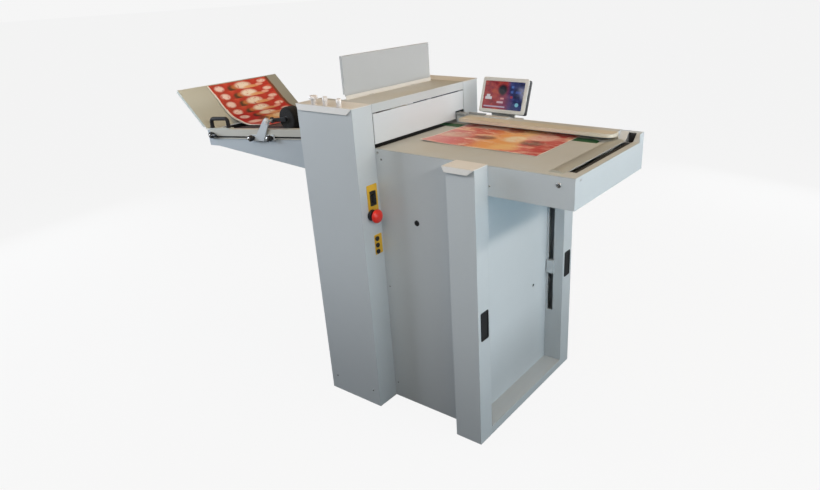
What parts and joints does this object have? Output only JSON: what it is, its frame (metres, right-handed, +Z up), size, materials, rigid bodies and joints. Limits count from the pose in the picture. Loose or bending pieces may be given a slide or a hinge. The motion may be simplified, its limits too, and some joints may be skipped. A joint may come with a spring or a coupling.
{
  "type": "sheet folding machine",
  "caption": "Floor-standing sheet folder: flat feed table with a register belt, a fold head between two towers, a sloping delivery with a stop tray, and a tilting display.",
  "frame": {"origin": "middle of the cabinet's base plate, on the floor", "axes": "+X from the delivery towards the feed table, +Y from the operator's side to the rear, +Z up"},
  "size_m": [1.7725, 0.69, 1.226],
  "materials": {
    "cover_paint": "satin powder coat, light blue-grey",
    "frame_steel": "semi-matt grey primer",
    "bright_steel": "brushed",
    "roller_steel": "ground",
    "aluminium_rail": "satin anodised",
    "black_rubber": "matt",
    "foam": "open-cell matt",
    "green_belt": "smooth belt",
    "dark_belt": "smooth belt",
    "black_plastic": "moulded",
    "pulley_plastic": "machined",
    "motor_black": "matt",
    "display_shell": "fine texture",
    "display_glass": "lit screen",
    "stop_red": "gloss",
    "label_yellow": "satin",
    "knob_bright": "bright",
    "print_paper": "coated print"
  },
  "bodies": {
    "machine": {"bay_liner": "cover_paint", "bearings_and_axles": "bright_steel", "belt_guard": "cover_paint", "chassis": "frame_steel", "cover_screws": "bright_steel", "delivery_belts": "dark_belt", "delivery_pan": "cover_paint", "delivery_rails": "aluminium_rail", "display_mount": "cover_paint", "drive_motors": "motor_black", "front_column": "cover_paint", "front_panel": "cover_paint", "front_tower_cover": "cover_paint", "hand_pads": "black_plastic", "head_cover": "cover_paint", "hinge_rods": "bright_steel", "infeed_guide": "bright_steel", "label_plates": "label_yellow", "left_end_panel": "cover_paint", "post_caps": "cover_paint", "printed_sheet": "print_paper", "rear_column": "cover_paint", "rear_panel": "cover_paint", "rear_tower_cover": "cover_paint", "register_belt": "green_belt", "slider_plates": "bright_steel", "switch_sockets": "black_plastic", "table_bed": "cover_paint", "table_skirt": "cover_paint"},
    "feed_flap": {"feed_flap": "cover_paint"},
    "access_lid": {"access_lid": "cover_paint"},
    "slot_carrier": {"slot_carrier": "cover_paint"},
    "panel_lock": {"panel_lock": "bright_steel"},
    "infeed_roller": {"infeed_roller": "black_rubber"},
    "belt_drive_pulley": {"belt_drive_pulley": "pulley_plastic"},
    "belt_idle_pulley": {"belt_idle_pulley": "pulley_plastic"},
    "fold_roller_left": {"fold_roller_left": "roller_steel"},
    "fold_roller_right": {"fold_roller_right": "roller_steel"},
    "fold_knife": {"fold_knife": "bright_steel"},
    "delivery_drive_roller": {"delivery_drive_roller": "roller_steel"},
    "delivery_tail_roller": {"delivery_tail_roller": "roller_steel"},
    "tray_carriage": {"stop_tray": "cover_paint", "loop_handle": "black_plastic", "folded_sheets": "print_paper"},
    "roller_carriage": {"roller_bracket": "cover_paint"},
    "thumb_knob_left": {"thumb_knob_left": "black_plastic"},
    "thumb_knob_right": {"thumb_knob_right": "black_plastic"},
    "press_arm": {"press_arm": "black_plastic"},
    "foam_roller": {"foam_roller": "foam"},
    "display_post": {"display_post": "display_shell"},
    "display": {"display_housing": "display_shell", "display_screen": "display_glass"},
    "stop_button": {"stop_button": "stop_red"},
    "power_rocker": {"power_rocker": "black_plastic"},
    "top_button": {"top_button": "black_plastic"},
    "middle_button": {"middle_button": "black_plastic"},
    "bottom_button": {"bottom_button": "black_plastic"},
    "left_knob": {"left_knob": "knob_bright"},
    "middle_knob": {"middle_knob": "knob_bright"},
    "right_knob": {"right_knob": "knob_bright"}
  },
  "joints": [
    {"name": "flap_hinge", "type": "hinge", "parent": "machine", "child": "feed_flap", "pos_m": [-0.0995, 0, 1.054], "axis": [0, -1, 0], "range_deg": [0, 90]},
    {"name": "lid_hinge", "type": "hinge", "parent": "machine", "child": "access_lid", "pos_m": [-0.2315, 0, 1.095], "axis": [0, -1, 0], "range_deg": [0, 90]},
    {"name": "carrier_slide", "type": "slide", "parent": "machine", "child": "slot_carrier", "axis": [0, 0, 1], "range_m": [-0.15, 0.38]},
    {"name": "lock_turn", "type": "hinge", "parent": "machine", "child": "panel_lock", "pos_m": [0.0615, -0.25, 0.722], "axis": [0, -1, 0], "range_deg": [0, 90]},
    {"name": "belt_drive_spin", "type": "hinge", "parent": "machine", "child": "belt_drive_pulley", "pos_m": [-0.14, 0.15, 0.9315], "axis": [0, 1, 0], "continuous": true},
    {"name": "belt_idle_spin", "type": "hinge", "parent": "machine", "child": "belt_idle_pulley", "pos_m": [0.478, 0.15, 0.9315], "axis": [0, 1, 0], "continuous": true},
    {"name": "infeed_spin", "type": "hinge", "parent": "machine", "child": "infeed_roller", "pos_m": [0.579, 0, 0.936], "axis": [0, 1, 0], "continuous": true},
    {"name": "fold_left_spin", "type": "hinge", "parent": "machine", "child": "fold_roller_left", "pos_m": [-0.20715, 0, 0.992], "axis": [0, 1, 0], "continuous": true},
    {"name": "fold_right_spin", "type": "hinge", "parent": "machine", "child": "fold_roller_right", "pos_m": [-0.17285, 0, 0.992], "axis": [0, 1, 0], "continuous": true},
    {"name": "knife_lift", "type": "slide", "parent": "machine", "child": "fold_knife", "axis": [0, 0, 1], "range_m": [0, 0.04]},
    {"name": "delivery_drive_spin", "type": "hinge", "parent": "machine", "child": "delivery_drive_roller", "pos_m": [-0.31102, 0, 0.96242], "axis": [0, 1, 0], "continuous": true},
    {"name": "delivery_tail_spin", "type": "hinge", "parent": "machine", "child": "delivery_tail_roller", "pos_m": [-0.91722, 0, 0.90406], "axis": [0, 1, 0], "continuous": true},
    {"name": "tray_slide", "type": "slide", "parent": "machine", "child": "tray_carriage", "axis": [0.9954, 0, 0.0958], "range_m": [0, 0.07]},
    {"name": "clamp_slide", "type": "slide", "parent": "machine", "child": "roller_carriage", "axis": [0.9954, 0, 0.0958], "range_m": [-0.05, 0.1]},
    {"name": "left_clamp_turn", "type": "hinge", "parent": "roller_carriage", "child": "thumb_knob_left", "pos_m": [-0.697, -0.27, 0.92275], "axis": [0, 1, 0], "range_deg": [0, 180]},
    {"name": "right_clamp_turn", "type": "hinge", "parent": "roller_carriage", "child": "thumb_knob_right", "pos_m": [-0.59149, -0.27, 0.93291], "axis": [0, 1, 0], "range_deg": [0, 180]},
    {"name": "press_arm_lift", "type": "hinge", "parent": "roller_carriage", "child": "press_arm", "pos_m": [-0.604, -0.235, 0.992], "axis": [0, -1, 0], "range_deg": [0, 70]},
    {"name": "foam_roller_spin", "type": "hinge", "parent": "press_arm", "child": "foam_roller", "pos_m": [-0.5355, -0.2, 1.00009], "axis": [0, 1, 0], "continuous": true},
    {"name": "display_swivel", "type": "hinge", "parent": "machine", "child": "display_post", "pos_m": [0.07, 0.312, 0.958], "axis": [0, 0, 1], "range_deg": [-12, 12]},
    {"name": "display_tilt", "type": "hinge", "parent": "display_post", "child": "display", "pos_m": [0.07, 0.307, 1.033], "axis": [-1, 0, 0], "range_deg": [-8, 25]},
    {"name": "stop_press", "type": "slide", "parent": "machine", "child": "stop_button", "axis": [-1, 0, 0], "range_m": [0, 0.004], "stiffness_N_per_m": 800},
    {"name": "rocker_tilt", "type": "hinge", "parent": "machine", "child": "power_rocker", "pos_m": [-0.091, -0.2835, 0.792], "axis": [0, 1, 0], "range_deg": [-10, 10]},
    {"name": "top_button_press", "type": "slide", "parent": "machine", "child": "top_button", "axis": [-1, 0, 0], "range_m": [0, 0.0025], "stiffness_N_per_m": 400},
    {"name": "middle_button_press", "type": "slide", "parent": "machine", "child": "middle_button", "axis": [-1, 0, 0], "range_m": [0, 0.0025], "stiffness_N_per_m": 400},
    {"name": "bottom_button_press", "type": "slide", "parent": "machine", "child": "bottom_button", "axis": [-1, 0, 0], "range_m": [0, 0.0025], "stiffness_N_per_m": 400},
    {"name": "left_knob_turn", "type": "hinge", "parent": "machine", "child": "left_knob", "pos_m": [-0.2655, -0.33, 1.09], "axis": [0, 0, 1], "continuous": true},
    {"name": "middle_knob_turn", "type": "hinge", "parent": "machine", "child": "middle_knob", "pos_m": [-0.2135, -0.33, 1.09], "axis": [0, 0, 1], "continuous": true},
    {"name": "right_knob_turn", "type": "hinge", "parent": "machine", "child": "right_knob", "pos_m": [-0.1535, -0.33, 1.09], "axis": [0, 0, 1], "continuous": true}
  ],
  "couplings": [
    {"joint": "belt_drive_spin", "follows": "infeed_spin", "ratio": 0.53846},
    {"joint": "belt_idle_spin", "follows": "infeed_spin", "ratio": 0.53846},
    {"joint": "fold_right_spin", "follows": "fold_left_spin", "ratio": -1},
    {"joint": "delivery_tail_spin", "follows": "delivery_drive_spin", "ratio": 1}
  ]
}
